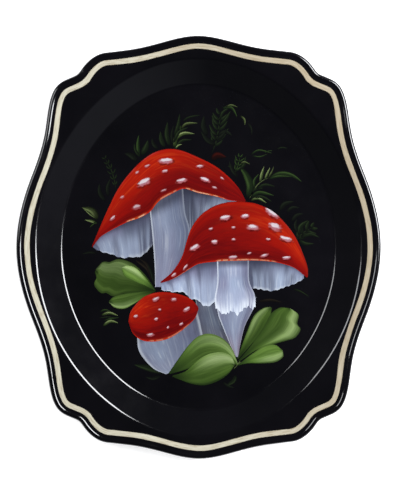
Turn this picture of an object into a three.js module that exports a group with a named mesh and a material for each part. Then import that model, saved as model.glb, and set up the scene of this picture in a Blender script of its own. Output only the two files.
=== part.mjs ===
// A painted sheet-steel serving tray: a pressed body with an oval well and a scalloped flange, a stiffening
// wire rolled into its edge, and on the back a wire loop under two saddle clips, for hanging it on a wall.
// Millimetres, +Z up. The tray lies on its floor: the origin is the centre of the floor's underside, +Y is
// the top of the painted picture and +X is its right side.
import * as THREE from "three";
import { mergeVertices } from "three/addons/utils/BufferGeometryUtils.js";

const { degToRad } = THREE.MathUtils;

// ---- Driving dimensions -------------------------------------------------------------------------------
const SHEET = 0.8; // steel sheet with its coats of ground and lacquer
const WIRE_RADIUS = 1.5; // stiffening wire inside the rolled edge
const FIT_GAP = 0.3; // clearance between pieces that touch

// The well: parallel ovals, counted outwards from the edge of the flat floor.
const FLOOR = { halfWidth: 115.8, halfLength: 138 };
const OVAL_LEAN = 0.01; // share by which the ovals are less full than an ellipse, between their axes
const WALL_TILT = degToRad(38.4);
const WALL_RUN = 18.3; // plan width of the straight part of the wall
const FLOOR_BEND = 5; // radius of the hollow bend, on the upper face
const FLANGE_BEND = 6; // radius of the crowned bend, on the upper face

// The flange and its rolled edge.
const FLANGE_RISE = 1.5; // across the flange, out to the foot of the cove
const COVE = 2; // radius of the hollow that turns the flange up into the roll
const COVE_TILT = degToRad(30);
const ROLL = WIRE_RADIUS + FIT_GAP + SHEET; // outside radius of the rolled edge
const ROLL_END = degToRad(-195); // the curled edge stops just under the flange

// One quarter of the outline, from the middle of the top edge to the middle of the right side. Each knot
// has a place, a heading in degrees, and the number of stations spent on the way to it.
const OUTLINE = [
  { x: 0, y: 180.1, heading: 0, stations: 0 },
  { x: 37, y: 172.8, heading: -14.5, stations: 4 },
  { x: 60, y: 168.2, heading: -7, stations: 3 },
  { x: 78, y: 166.1, heading: -6, stations: 2 },
  { x: 99.8, y: 150.6, heading: -57, stations: 7 },
  { x: 104.2, y: 146.5, heading: -25, stations: 3 },
  { x: 113.5, y: 142.5, heading: -25, stations: 1 },
  { x: 122.6, y: 134, heading: -62, stations: 4 },
  { x: 126.4, y: 123.2, heading: -77.5, stations: 2 },
  { x: 130.6, y: 97.2, heading: -79.5, stations: 2 },
  { x: 141.8, y: 61.3, heading: -68.5, stations: 4 },
  { x: 155.2, y: 0, heading: -90, stations: 5 },
];

// The hanging loop lies under the flange at the middle of the top edge.
const LOOP = {
  wireRadius: 1,
  innerRadius: 4, // room for the nail
  neck: 3, // straight part of each leg
  foot: 8, // straight end that a clip holds, along the rim
  footBend: 2, // centre-line radius of the bend from leg to foot
  lean: degToRad(30), // away from the flange, so that a nail's head can pass behind
  y: 167.6, // centre line of the feet
};
const CLIP = { width: 5, wing: 2.6, thickness: 0.8 };

// Facets.
const BEND_STEPS = 3;
const COVE_STEPS = 2;
const ROLL_STEPS = 10;
const WIRE_SIDES = 8;

// ---- Heights and places that follow from them ---------------------------------------------------------
const WALL_START = FLOOR_BEND * Math.sin(WALL_TILT);
const WALL_TOP = SHEET + FLOOR_BEND * (1 - Math.cos(WALL_TILT)) + WALL_RUN * Math.tan(WALL_TILT);
const CROWN_OUT = WALL_START + WALL_RUN + FLANGE_BEND * Math.sin(WALL_TILT);
const CROWN_Z = WALL_TOP - FLANGE_BEND * Math.cos(WALL_TILT);
const COVE_IN = ROLL + (ROLL + COVE) * Math.sin(COVE_TILT);
const COVE_Z = CROWN_Z + FLANGE_BEND + FLANGE_RISE + COVE;
const ROLL_Z = COVE_Z - (ROLL + COVE) * Math.cos(COVE_TILT);

// ---- Outline ------------------------------------------------------------------------------------------

// The curve from one knot to the next, with the handles of an arc that turns by the same angle.
function leg(a, b) {
  const [from, to] = [degToRad(a.heading), degToRad(b.heading)];
  const chord = Math.hypot(b.x - a.x, b.y - a.y);
  const handle = chord / (3 * Math.cos((to - from) / 4) ** 2);
  return new THREE.CubicBezierCurve(
    new THREE.Vector2(a.x, a.y),
    new THREE.Vector2(a.x + handle * Math.cos(from), a.y + handle * Math.sin(from)),
    new THREE.Vector2(b.x - handle * Math.cos(to), b.y - handle * Math.sin(to)),
    new THREE.Vector2(b.x, b.y),
  );
}

// Stations along one quarter: a place on the outline and the outward direction there.
function quarterStations() {
  return OUTLINE.slice(1).flatMap((knot, i) => {
    const curve = leg(OUTLINE[i], knot);
    return Array.from({ length: knot.stations }, (_, k) => {
      const at = curve.getPoint(k / knot.stations);
      const along = curve.getTangent(k / knot.stations);
      return { x: at.x, y: at.y, nx: -along.y, ny: along.x };
    });
  });
}

// Stations round the whole outline, clockwise from the middle of the top edge.
function outlineStations() {
  const quarter = quarterStations();
  const side = { x: OUTLINE.at(-1).x, y: 0, nx: 1, ny: 0 };
  const back = [side, ...quarter.slice(1).reverse()];
  const turned = (stations, sx, sy) =>
    stations.map((s) => ({ x: s.x * sx, y: s.y * sy, nx: s.nx * sx, ny: s.ny * sy }));
  return [...quarter, ...turned(back, 1, -1), ...turned(quarter, -1, -1), ...turned(back, -1, 1)];
}

// ---- The pressed body ---------------------------------------------------------------------------------

// A closed skin through rows of points: each row is a ring, or one point repeated where the skin closes.
function skin(rows) {
  const count = rows[0].length;
  const index = [];
  for (let r = 0; r + 1 < rows.length; r++)
    for (let s = 0; s < count; s++) {
      const [a, b] = [r * count + s, r * count + ((s + 1) % count)];
      index.push(a, a + count, b, b, a + count, b + count);
    }
  return mergeVertices(new THREE.BufferGeometry().setFromPoints(rows.flat()).setIndex(index));
}

// Evenly spaced values from one to another, both included.
function sweep(from, to, steps) {
  return Array.from({ length: steps + 1 }, (_, k) => from + ((to - from) * k) / steps);
}

// Where the oval that lies `out` beyond the floor's edge passes a station, seen from the centre.
function onOval(station, out, z) {
  const [x, y] = [station.x / (FLOOR.halfWidth + out), station.y / (FLOOR.halfLength + out)];
  const size = Math.hypot(x, y);
  const reach = (1 - OVAL_LEAN * ((2 * x * y) / size ** 2) ** 2) / size;
  return new THREE.Vector3(station.x * reach, station.y * reach, z);
}

// A place `inward` of the outermost edge.
function onEdge(station, inward, z) {
  return new THREE.Vector3(station.x - station.nx * inward, station.y - station.ny * inward, z);
}

// How steeply the flange rises at a station, wide or narrow, to reach the foot of the cove.
function flangeTilt(station) {
  return Math.atan(FLANGE_RISE / onOval(station, CROWN_OUT, 0).distanceTo(onEdge(station, COVE_IN, 0)));
}

// The section at a station, from the floor's edge to the end of the roll. depth is 0 on the upper face and
// SHEET on the lower one: every bend keeps its centre, so the sheet keeps its thickness.
function section(station, depth) {
  const tilt = flangeTilt(station);
  const [hollow, crowned, cove, roll] = [FLOOR_BEND + depth, FLANGE_BEND - depth, COVE + depth, ROLL - depth];
  return [
    ...sweep(0, WALL_TILT, BEND_STEPS).map((t) =>
      onOval(station, hollow * Math.sin(t), SHEET + FLOOR_BEND - hollow * Math.cos(t)),
    ),
    ...sweep(WALL_TILT, tilt, BEND_STEPS).map((t) =>
      onOval(station, CROWN_OUT - crowned * Math.sin(t), CROWN_Z + crowned * Math.cos(t)),
    ),
    ...sweep(tilt, COVE_TILT, COVE_STEPS).map((t) =>
      onEdge(station, COVE_IN - cove * Math.sin(t), COVE_Z - cove * Math.cos(t)),
    ),
    ...sweep(Math.PI / 2 + COVE_TILT, ROLL_END, ROLL_STEPS)
      .slice(1)
      .map((t) => onEdge(station, ROLL - roll * Math.cos(t), ROLL_Z + roll * Math.sin(t))),
  ];
}

function trayBody() {
  const stations = outlineStations();
  const rings = (depth) => {
    const sections = stations.map((s) => section(s, depth));
    return sections[0].map((_, row) => sections.map((points) => points[row]));
  };
  const centre = (z) => stations.map(() => new THREE.Vector3(0, 0, z));
  return skin([centre(0), ...rings(SHEET), ...rings(0).reverse(), centre(SHEET)]);
}

// ---- The wires ----------------------------------------------------------------------------------------

// A round wire along a flat path, square at both ends.
function wire(path, radius) {
  const up = new THREE.Vector3(0, 0, 1);
  const turns = sweep(0, 2 * Math.PI, WIRE_SIDES).slice(1);
  const rings = path.map((p, i) => {
    const along = path[Math.min(i + 1, path.length - 1)].clone().sub(path[Math.max(i - 1, 0)]).normalize();
    const across = along.cross(up);
    return turns.map((t) =>
      p.clone().addScaledVector(across, radius * Math.cos(t)).addScaledVector(up, radius * Math.sin(t)),
    );
  });
  const end = (p) => turns.map(() => p.clone());
  return skin([end(path[0]), ...rings, end(path.at(-1))]);
}

// The stiffening wire runs once round inside the roll; its ends meet at the middle of the bottom edge.
function rimWire() {
  const centreLine = outlineStations().map((s) => onEdge(s, ROLL, ROLL_Z));
  const bottom = centreLine.length / 2;
  const start = centreLine[bottom].clone().setX(-FIT_GAP);
  const end = centreLine[bottom].clone().setX(FIT_GAP);
  return wire([start, ...centreLine.slice(bottom + 1), ...centreLine.slice(0, bottom), end], WIRE_RADIUS);
}

// The place under the flange where the loop's feet lie: the flange's tilt there and the wire's centre height.
function hangerSeat() {
  const tilt = flangeTilt(outlineStations()[0]);
  const under = FLANGE_BEND - SHEET; // lower face of the crowned bend, where the flange starts
  const startY = FLOOR.halfLength + CROWN_OUT - under * Math.sin(tilt);
  const startZ = CROWN_Z + under * Math.cos(tilt);
  const drop = (FIT_GAP + LOOP.wireRadius) / Math.cos(tilt);
  return { tilt, z: startZ + (LOOP.y - startY) * Math.tan(tilt) - drop };
}

// The loop: a foot, a leg, the round bight, and the same again, drawn flat and then leaned back.
function hangingLoop() {
  const half = LOOP.innerRadius + LOOP.wireRadius;
  const bend = LOOP.footBend;
  const shoulder = bend + LOOP.neck;
  const flat = (x, y) => new THREE.Vector3(x, y, 0);
  const arc = (x, y, radius, from, to, steps) =>
    sweep(from, to, steps).map((t) => flat(x + radius * Math.cos(t), y + radius * Math.sin(t)));
  const path = [
    flat(-half - bend - LOOP.foot, 0),
    ...arc(-half - bend, bend, bend, -Math.PI / 2, 0, 4),
    ...arc(0, shoulder, half, Math.PI, 0, 12),
    ...arc(half + bend, bend, bend, Math.PI, (3 * Math.PI) / 2, 4),
    flat(half + bend + LOOP.foot, 0),
  ];
  return wire(path, LOOP.wireRadius).rotateX(-LOOP.lean).translate(0, LOOP.y, hangerSeat().z);
}

// A saddle clip: a strap with two wings flat under the flange and a hump round the wire's foot.
function loopClip(side) {
  const seat = hangerSeat();
  const inner = LOOP.wireRadius + FIT_GAP;
  const outer = inner + CLIP.thickness;
  const reach = outer + CLIP.wing;
  const [top, bottom] = [LOOP.wireRadius, LOOP.wireRadius - CLIP.thickness];
  const strap = new THREE.Shape();
  strap.moveTo(-reach, top).lineTo(-reach, bottom).lineTo(-outer, bottom);
  strap.absarc(0, 0, outer, Math.PI, 2 * Math.PI, false);
  strap.lineTo(outer, bottom).lineTo(reach, bottom).lineTo(reach, top).lineTo(inner, top);
  strap.absarc(0, 0, inner, 2 * Math.PI, Math.PI, true);
  strap.lineTo(-inner, top);
  const footMiddle = LOOP.innerRadius + LOOP.wireRadius + LOOP.footBend + LOOP.foot / 2;
  return new THREE.ExtrudeGeometry(strap, { depth: CLIP.width, curveSegments: 8, bevelEnabled: false })
    .translate(0, 0, -CLIP.width / 2)
    .rotateY(Math.PI / 2)
    .rotateX(Math.PI / 2)
    .rotateX(seat.tilt)
    .translate(side * footMiddle, LOOP.y, seat.z);
}

// ---- Assembly -----------------------------------------------------------------------------------------
const BLACK_LACQUER = new THREE.MeshStandardMaterial({ color: 0x0d0e11, metalness: 0, roughness: 0.12 });
const STEEL = new THREE.MeshStandardMaterial({ color: 0x8b8d8f, metalness: 1, roughness: 0.4 });

const group = new THREE.Group();

function addPiece(name, geometry, material) {
  const mesh = new THREE.Mesh(geometry, material);
  mesh.name = name;
  group.add(mesh);
}

addPiece("tray_body", trayBody(), BLACK_LACQUER);
addPiece("rim_wire", rimWire(), STEEL);
addPiece("hanging_loop", hangingLoop(), BLACK_LACQUER);
addPiece("loop_clip_left", loopClip(-1), BLACK_LACQUER);
addPiece("loop_clip_right", loopClip(1), BLACK_LACQUER);

export default group;
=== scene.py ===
"""A painted steel tray: black stove lacquer, a cream border line, and three mushrooms among leaves.

Lengths are in millimetres until a mesh is made. The tray lies on its floor, +Z up, with the origin at the
centre of the floor's underside, +Y the top of the painting and +X its right side.
"""

import math
import bpy
import numpy as np
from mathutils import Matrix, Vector


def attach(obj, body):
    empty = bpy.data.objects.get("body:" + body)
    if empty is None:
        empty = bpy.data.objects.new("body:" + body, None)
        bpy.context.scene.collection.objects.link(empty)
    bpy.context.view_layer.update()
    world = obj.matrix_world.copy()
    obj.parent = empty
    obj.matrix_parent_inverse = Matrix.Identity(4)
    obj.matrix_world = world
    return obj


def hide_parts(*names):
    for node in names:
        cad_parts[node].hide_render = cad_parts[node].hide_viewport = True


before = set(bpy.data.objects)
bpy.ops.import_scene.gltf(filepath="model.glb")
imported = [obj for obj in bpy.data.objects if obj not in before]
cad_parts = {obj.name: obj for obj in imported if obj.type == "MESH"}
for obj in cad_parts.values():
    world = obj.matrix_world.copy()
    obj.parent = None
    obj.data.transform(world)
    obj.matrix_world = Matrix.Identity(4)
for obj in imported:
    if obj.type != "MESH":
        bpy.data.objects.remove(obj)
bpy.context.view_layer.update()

MM = 0.001

# ---- Sizes of the metalwork ---------------------------------------------------------------------------
SHEET = 0.8  # steel with its coats
WIRE_RADIUS = 1.5
FIT_GAP = 0.3
FLOOR_HALF = np.array([115.8, 138.0])  # half width and half length of the flat oval floor
OVAL_LEAN = 0.01  # share by which the ovals are less full than an ellipse, between their axes
WALL_TILT = math.radians(38.4)
WALL_RUN = 18.3
FLOOR_BEND = 5.0
FLANGE_BEND = 6.0
FLANGE_RISE = 1.5
COVE = 2.0
COVE_TILT = math.radians(30)
ROLL = WIRE_RADIUS + FIT_GAP + SHEET
ROLL_END = math.radians(-195)

# One quarter of the outline, from the middle of the top edge to the middle of the right side:
# x, y and the heading in degrees.
OUTLINE = [
    (0, 180.1, 0),
    (37, 172.8, -14.5),
    (60, 168.2, -7),
    (78, 166.1, -6),
    (99.8, 150.6, -57),
    (104.2, 146.5, -25),
    (113.5, 142.5, -25),
    (122.6, 134, -62),
    (126.4, 123.2, -77.5),
    (130.6, 97.2, -79.5),
    (141.8, 61.3, -68.5),
    (155.2, 0, -90),
]
STATION_SPACING = 1.5  # between stations along the outline
BEND_STEPS = 9  # rings round each bend of the wall
COVE_STEPS = 6
ROLL_STEPS = 31

# Heights and places that follow from them.
WALL_START = FLOOR_BEND * math.sin(WALL_TILT)
WALL_TOP = SHEET + FLOOR_BEND * (1 - math.cos(WALL_TILT)) + WALL_RUN * math.tan(WALL_TILT)
CROWN_OUT = WALL_START + WALL_RUN + FLANGE_BEND * math.sin(WALL_TILT)
CROWN_Z = WALL_TOP - FLANGE_BEND * math.cos(WALL_TILT)
COVE_IN = ROLL + (ROLL + COVE) * math.sin(COVE_TILT)
COVE_Z = CROWN_Z + FLANGE_BEND + FLANGE_RISE + COVE
ROLL_Z = COVE_Z - (ROLL + COVE) * math.cos(COVE_TILT)

# The hanging loop under the flange.
LOOP_WIRE = 1.0
LOOP_INNER = 4.0
LOOP_NECK = 3.0
LOOP_FOOT = 8.0
LOOP_FOOT_BEND = 2.0
LOOP_LEAN = math.radians(30)
LOOP_Y = 167.6
CLIP_WIDTH = 5.0
CLIP_WING = 2.6
CLIP_THICKNESS = 0.8
CLIP_EASE = 0.12  # how much the clip's sheared edges are eased

# The border line: how far its two edges lie in from the outermost edge, and how thick the paint is.
LINE_OUTER = 7.1
LINE_INNER = 11.5
LINE_COAT = 0.06
LINE_STRIPS = 15  # points across the line on its upper side

LIGHT_LEVEL = 1.72  # how brightly a white surface on the tray shows, where 1 is white

# The painting: how much each coat adds, and how deep a coat's edge reaches into the lacquer.
COAT = 0.03
BED = 0.05


# ---- Numbers and curves -------------------------------------------------------------------------------

def srgb(red, green, blue):
    """A colour given with each part from 0 to 255, turned into linear light."""
    part = np.array([red, green, blue]) / 255
    return np.where(part <= 0.04045, part / 12.92, ((part + 0.055) / 1.055) ** 2.4)


def paint_tone(red, green, blue):
    """The share of light that a paint gives back, from the colour it shows under the bright studio
    lights."""
    return srgb(red, green, blue) / LIGHT_LEVEL


def ramp(value, start, end):
    """0 before start, 1 after end, and an S-shaped step between them."""
    t = np.clip((value - start) / (end - start), 0, 1)
    return t * t * (3 - 2 * t)


def near(value, centre, width):
    """A bell: 1 at the centre, falling to about a third at the given width."""
    return np.exp(-(((value - centre) / width) ** 2))


GRAIN_CELLS = 256  # cells of the random lattice each way, before it repeats


def grain(u, v, seed):
    """Smooth random values from 0 to 1: random numbers on a lattice of whole u and v, eased between."""
    table = np.random.default_rng(seed).random((GRAIN_CELLS, GRAIN_CELLS))
    u, v = np.broadcast_arrays(u, v)
    column, row = np.floor(u).astype(int), np.floor(v).astype(int)
    across, along = ramp(u - column, 0, 1), ramp(v - row, 0, 1)

    def corner(i, j):
        return table[(column + i) % GRAIN_CELLS, (row + j) % GRAIN_CELLS]

    low = corner(0, 0) * (1 - across) + corner(1, 0) * across
    high = corner(0, 1) * (1 - across) + corner(1, 1) * across
    return low * (1 - along) + high * along


def travelled(points):
    """Distance along a row of points, from 0 at the first."""
    return np.concatenate([[0], np.cumsum(np.linalg.norm(np.diff(points, axis=0), axis=1))])


def smooth(points, count):
    """A smooth curve through a few points, sampled evenly along its length: cubic pieces whose slope at
    each point is the weighted mean of the chords on both sides."""
    points = np.asarray(points, float)
    knots = np.concatenate([[0], np.cumsum(np.sqrt(np.diff(travelled(points))))])
    slopes = np.gradient(points, knots, axis=0)

    def curve(at):
        i = np.clip(np.searchsorted(knots, at, side="right") - 1, 0, len(knots) - 2)
        span = (knots[i + 1] - knots[i])[:, None]
        f = (at - knots[i])[:, None] / span
        ends = (1 + 2 * f) * (1 - f) ** 2 * points[i] + f * f * (3 - 2 * f) * points[i + 1]
        return ends + span * (f * (1 - f) ** 2 * slopes[i] - f * f * (1 - f) * slopes[i + 1])

    fine = np.linspace(0, knots[-1], 8 * count)
    length = travelled(curve(fine))
    return curve(np.interp(np.linspace(0, length[-1], count), length, fine))


def unit(vectors):
    """The same directions with length 1."""
    return vectors / np.linalg.norm(vectors, axis=-1, keepdims=True)


# ---- Meshes -------------------------------------------------------------------------------------------

SHARP = math.radians(35)  # edges that turn by more than this stay crisp


def mesh_object(name, points, faces):
    """An object at the origin whose mesh holds these points, given in millimetres, and faces."""
    mesh = bpy.data.meshes.new(name)
    mesh.from_pydata((points * MM).tolist(), [], faces)
    mesh.shade_smooth()
    mesh.set_sharp_from_angle(angle=SHARP)
    piece = bpy.data.objects.new(name, mesh)
    bpy.context.scene.collection.objects.link(piece)
    return piece


def quads(index):
    """Four-cornered faces over a grid of point numbers."""
    corners = [index[:-1, :-1], index[:-1, 1:], index[1:, 1:], index[1:, :-1]]
    return np.stack(corners, -1).reshape(-1, 4)


def wrapped(index):
    """A grid of point numbers whose last column joins its first."""
    return np.concatenate([index, index[:, :1]], axis=1)


def skin(name, rings, ends=None):
    """A closed skin over rings of points, an array of (ring, place on the ring, xyz). With two end points
    it closes on them, with ends "flat" its first and last rings are faces, and with none the last ring
    joins the first."""
    count, size = rings.shape[:2]
    index = wrapped(np.arange(count * size).reshape(count, size))
    points = rings.reshape(-1, 3)
    if ends is None:
        faces = quads(np.concatenate([index, index[:1]])).tolist()
    elif isinstance(ends, str):
        faces = quads(index).tolist() + [index[0, :0:-1].tolist(), index[-1, 1:].tolist()]
    else:
        points = np.concatenate([points, ends])
        first, last = count * size, count * size + 1
        start = np.stack([np.full(size, first), index[0, 1:], index[0, :-1]], -1)
        finish = np.stack([index[-1, :-1], index[-1, 1:], np.full(size, last)], -1)
        faces = quads(index).tolist() + start.tolist() + finish.tolist()
    if signed_volume(points, faces) < 0:
        faces = [face[::-1] for face in faces]
    return mesh_object(name, points, faces)


def signed_volume(points, faces):
    """The volume inside the faces, negative where they face inwards: the sum over a fan of triangles in
    each."""
    total = 0.0
    for corners in set(map(len, faces)):
        those = np.array([face for face in faces if len(face) == corners])
        for k in range(1, corners - 1):
            a, b, c = points[those[:, 0]], points[those[:, k]], points[those[:, k + 1]]
            total += np.einsum("ij,ij->", a, np.cross(b, c)) / 6
    return total


# ---- The outline and the section of the tray ----------------------------------------------------------

def leg(a, b):
    """Stations on the curve from knot a to knot b, whose handles are those of an arc that turns by the same
    angle. Gives the places and the outward directions."""
    turn = np.radians([a[2], b[2]])
    start, end = np.array(a[:2], float), np.array(b[:2], float)
    chord = np.linalg.norm(end - start)
    handle = chord / (3 * math.cos((turn[1] - turn[0]) / 4) ** 2)
    first = start + handle * np.array([math.cos(turn[0]), math.sin(turn[0])])
    second = end - handle * np.array([math.cos(turn[1]), math.sin(turn[1])])
    count = math.ceil(chord / STATION_SPACING)
    t = (np.arange(count) / count)[:, None]
    place = (1 - t) ** 3 * start + 3 * t * (1 - t) ** 2 * first + 3 * t**2 * (1 - t) * second + t**3 * end
    along = (1 - t) ** 2 * (first - start) + 2 * t * (1 - t) * (second - first) + t**2 * (end - second)
    return place, unit(np.stack([-along[:, 1], along[:, 0]], -1))


def outline():
    """Stations round the whole outline, clockwise from the middle of the top edge: a quarter, and its
    mirror images in both centre lines."""
    legs = [leg(a, b) for a, b in zip(OUTLINE, OUTLINE[1:])]
    quarter = np.stack([np.concatenate(part) for part in zip(*legs)])
    side = np.array([[OUTLINE[-1][:2]], [(1, 0)]], float)
    back = np.concatenate([side, quarter[:, :0:-1]], axis=1)
    images = [quarter, back * (1, -1), quarter * (-1, -1), back * (-1, 1)]
    return np.concatenate(images, axis=1)


EDGE, OUTWARD = outline()


def on_oval(out, z):
    """Points where the oval that lies `out` beyond the floor's edge passes each station, seen from the
    centre."""
    way = EDGE / (FLOOR_HALF + np.reshape(out, (-1, 1)))
    size = np.linalg.norm(way, axis=1)
    reach = (1 - OVAL_LEAN * (2 * way.prod(axis=1) / size**2) ** 2) / size
    return np.column_stack([EDGE * reach[:, None], np.broadcast_to(z, reach.shape)])


def on_edge(inward, z):
    """Points that lie `inward` of the outermost edge at each station."""
    place = EDGE - OUTWARD * np.reshape(inward, (-1, 1))
    return np.column_stack([place, np.broadcast_to(z, len(place))])


def flange_tilt():
    """How steeply the flange rises at each station to reach the foot of the cove."""
    across = np.linalg.norm(on_oval(CROWN_OUT, 0) - on_edge(COVE_IN, 0), axis=1)
    return np.arctan(FLANGE_RISE / across)


def section(depth):
    """Rings of the sheet's upper face (depth 0) or lower face (depth SHEET), from the floor's edge to the
    end of the roll: a hollow bend, the straight wall, a crowned bend, the flange, a cove and the roll.
    Every bend keeps its centre, so the sheet keeps its thickness."""
    tilt = flange_tilt()
    hollow, crowned, cove, roll = FLOOR_BEND + depth, FLANGE_BEND - depth, COVE + depth, ROLL - depth
    rings = [
        on_oval(hollow * math.sin(t), SHEET + FLOOR_BEND - hollow * math.cos(t))
        for t in np.linspace(0, WALL_TILT, BEND_STEPS)
    ]
    for share in np.linspace(0, 1, BEND_STEPS):
        t = WALL_TILT + (tilt - WALL_TILT) * share
        rings.append(on_oval(CROWN_OUT - crowned * np.sin(t), CROWN_Z + crowned * np.cos(t)))
    foot = on_edge(COVE_IN - cove * np.sin(tilt), COVE_Z - cove * np.cos(tilt))
    rings += [rings[-1] + (foot - rings[-1]) * share for share in (0.25, 0.5, 0.75)]
    for share in np.linspace(0, 1, COVE_STEPS):
        t = tilt + (COVE_TILT - tilt) * share
        rings.append(on_edge(COVE_IN - cove * np.sin(t), COVE_Z - cove * np.cos(t)))
    rings += [
        on_edge(ROLL - roll * math.cos(t), ROLL_Z + roll * math.sin(t))
        for t in np.linspace(math.pi / 2 + COVE_TILT, ROLL_END, ROLL_STEPS)[1:]
    ]
    return np.stack(rings)


# ---- Materials ----------------------------------------------------------------------------------------

MIX_A, MIX_B, MIX_RESULT = 6, 7, 2  # the colour sockets of a Mix node


class Finish:
    """A material with one Principled shader, and short ways to add patterns to it."""

    def __init__(self, name, **sockets):
        self.material = bpy.data.materials.new(name)
        self.material.use_nodes = True
        self.tree = self.material.node_tree
        self.shader = self.tree.nodes["Principled BSDF"]
        for socket, value in sockets.items():
            self.shader.inputs[socket.replace("_", " ")].default_value = value

    def node(self, kind, inputs, output, **settings):
        """The output of a new node. Each input is a value or another node's output."""
        new = self.tree.nodes.new(kind)
        for setting, value in settings.items():
            setattr(new, setting, value)
        for socket, value in inputs.items():
            if isinstance(value, bpy.types.NodeSocket):
                self.tree.links.new(value, new.inputs[socket])
            else:
                new.inputs[socket].default_value = value
        return new.outputs[output]

    def drive(self, socket, value):
        """Lets a pattern drive one of the shader's sockets."""
        self.tree.links.new(value, self.shader.inputs[socket])

    def place(self, stretch=(1, 1, 1)):
        """The place on the piece in metres, stretched along each axis."""
        at = self.node("ShaderNodeTexCoord", {}, "Object")
        return self.node("ShaderNodeMapping", {"Vector": at, "Scale": stretch}, "Vector")

    def strokes(self, stretch):
        """The place along and across the brush strokes in millimetres, stretched in each direction."""
        at = self.node("ShaderNodeAttribute", {}, "Vector", attribute_name="stroke")
        return self.node("ShaderNodeMapping", {"Vector": at, "Scale": stretch}, "Vector")

    def noise(self, at, scale, low=0.0, high=1.0, detail=2.0):
        """Noise whose middle range, 0.3 to 0.7, is moved to low and high."""
        pattern = self.node("ShaderNodeTexNoise", {"Vector": at, "Scale": scale, "Detail": detail}, "Fac")
        spread = {"Value": pattern, "From Min": 0.3, "From Max": 0.7, "To Min": low, "To Max": high}
        return self.node("ShaderNodeMapRange", spread, "Result")

    def mix(self, share, a, b, blend_type="MIX"):
        """Colour a mixed with colour b by the share given."""
        inputs = {0: share, MIX_A: a, MIX_B: b}
        return self.node("ShaderNodeMix", inputs, MIX_RESULT, data_type="RGBA", blend_type=blend_type)

    def relief(self, *layers):
        """Relief from patterns, each with its height in metres, one on top of the other."""
        normal = None
        for pattern, height in layers:
            inputs = {"Height": pattern, "Distance": height}
            if normal:
                inputs["Normal"] = normal
            normal = self.node("ShaderNodeBump", inputs, "Normal")
        self.drive("Normal", normal)
        return normal


def opaque(colour):
    """A colour with the fourth part that a socket wants."""
    return (*colour, 1.0)


def polished_lacquer():
    """The painted side: coats of black stove lacquer rubbed down and varnished to a mirror, a touch uneven
    in tone, over the long swell of hand-beaten sheet, with the faint skin of brushed varnish."""
    finish = Finish(
        "black lacquer, polished", Coat_Weight=1.0, Coat_Roughness=0.03, Specular_IOR_Level=0.15
    )
    at = finish.place()
    tone = finish.noise(at, 14, detail=4)
    finish.drive("Base Color", finish.mix(tone, opaque(srgb(5, 5, 7)), opaque(srgb(10, 9, 13))))
    finish.drive("Roughness", finish.noise(at, 60, 0.12, 0.22, detail=3))
    normal = finish.relief((finish.noise(at, 18, detail=0), 0.0001), (finish.noise(at, 700), 0.000003))
    finish.drive("Coat Normal", normal)
    return finish.material


def plain_lacquer():
    """The back: black lacquer left from the brush, satin, with long brush marks and scattered pinheads of
    dust."""
    finish = Finish("black lacquer, brushed back", Coat_Weight=0.35, Coat_Roughness=0.25)
    at = finish.place()
    marks = finish.noise(finish.place((40, 900, 900)), 1, detail=3)
    finish.drive("Base Color", finish.mix(marks, opaque(srgb(9, 9, 10)), opaque(srgb(20, 19, 19))))
    finish.drive("Roughness", finish.noise(at, 90, 0.32, 0.5, detail=4))
    finish.relief((marks, 0.00003), (finish.noise(at, 1500), 0.00001))
    return finish.material


def drawn_wire():
    """Drawn steel wire: fine scratches, duller where the oil has dried."""
    finish = Finish("drawn steel wire", Metallic=1.0)
    at = finish.place()
    tone = finish.noise(at, 300, detail=4)
    finish.drive("Base Color", finish.mix(tone, opaque(srgb(120, 118, 114)), opaque(srgb(168, 168, 166))))
    finish.drive("Roughness", finish.noise(at, 800, 0.3, 0.5, detail=4))
    finish.relief((finish.noise(at, 4000), 0.00001))
    return finish.material


def brush_paint(name, stretch, depth, ridge):
    """Oil paint under clear varnish. The colour is the one laid on the piece, broken up by the hairs of the
    brush: streaks that are long along the stroke and fine across it, with matching ridges."""
    finish = Finish(name, Roughness=0.3, Specular_IOR_Level=0.05, Coat_Weight=1.0, Coat_Roughness=0.05)
    laid = finish.node("ShaderNodeAttribute", {}, "Color", attribute_name="paint")
    hairs = finish.noise(finish.strokes(stretch), 1, 1 - depth, 1 + depth, detail=4)
    finish.drive("Base Color", finish.mix(1.0, laid, hairs, "MULTIPLY"))
    finish.relief((hairs, ridge))
    return finish.material


# ---- Films of paint -----------------------------------------------------------------------------------

LACQUER = paint_tone(8, 8, 10)  # what thin paint fades into


def ground(colour, shape):
    """A first coat of one colour over a grid of this shape."""
    return np.broadcast_to(colour, shape + (3,)).copy()


def laid_over(under, colour, share):
    """Paint over paint: every point moves from the colour under it towards the new one by its share."""
    return under + (np.asarray(colour) - under) * np.asarray(share)[..., None]


def film(place, paint, coat, stroke):
    """One film of paint over a grid of places: a flat sheet `coat` coats above the lacquer, with an upright
    edge down into the lacquer and a flat underside. Gives its points, faces, colours and brush
    directions."""
    rows, columns = place.shape[:2]
    index = np.arange(rows * columns).reshape(rows, columns)

    def border(grid):
        return np.concatenate([grid[0, :-1], grid[:-1, -1], grid[-1, :0:-1], grid[:0:-1, 0]])

    flat = place.reshape(-1, 2)
    x, y = flat[border(index)].T
    if np.sum(x * np.roll(y, -1) - y * np.roll(x, -1)) < 0:
        index = index[::-1]
    rim = border(index)
    under = rows * columns + np.arange(len(rim))
    top = np.column_stack([flat, np.full(len(flat), SHEET + COAT * coat)])
    bottom = np.column_stack([flat[rim], np.full(len(rim), SHEET - BED)])
    sides = np.stack([under, np.roll(under, -1), np.roll(rim, -1), rim], -1)
    colours = paint.reshape(-1, 3)
    strokes = stroke.reshape(-1, 2)
    return (
        np.concatenate([top, bottom]),
        quads(index).tolist() + sides.tolist() + [under[::-1].tolist()],
        np.concatenate([colours, colours[rim]]),
        np.concatenate([strokes, strokes[rim]]),
    )


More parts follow.
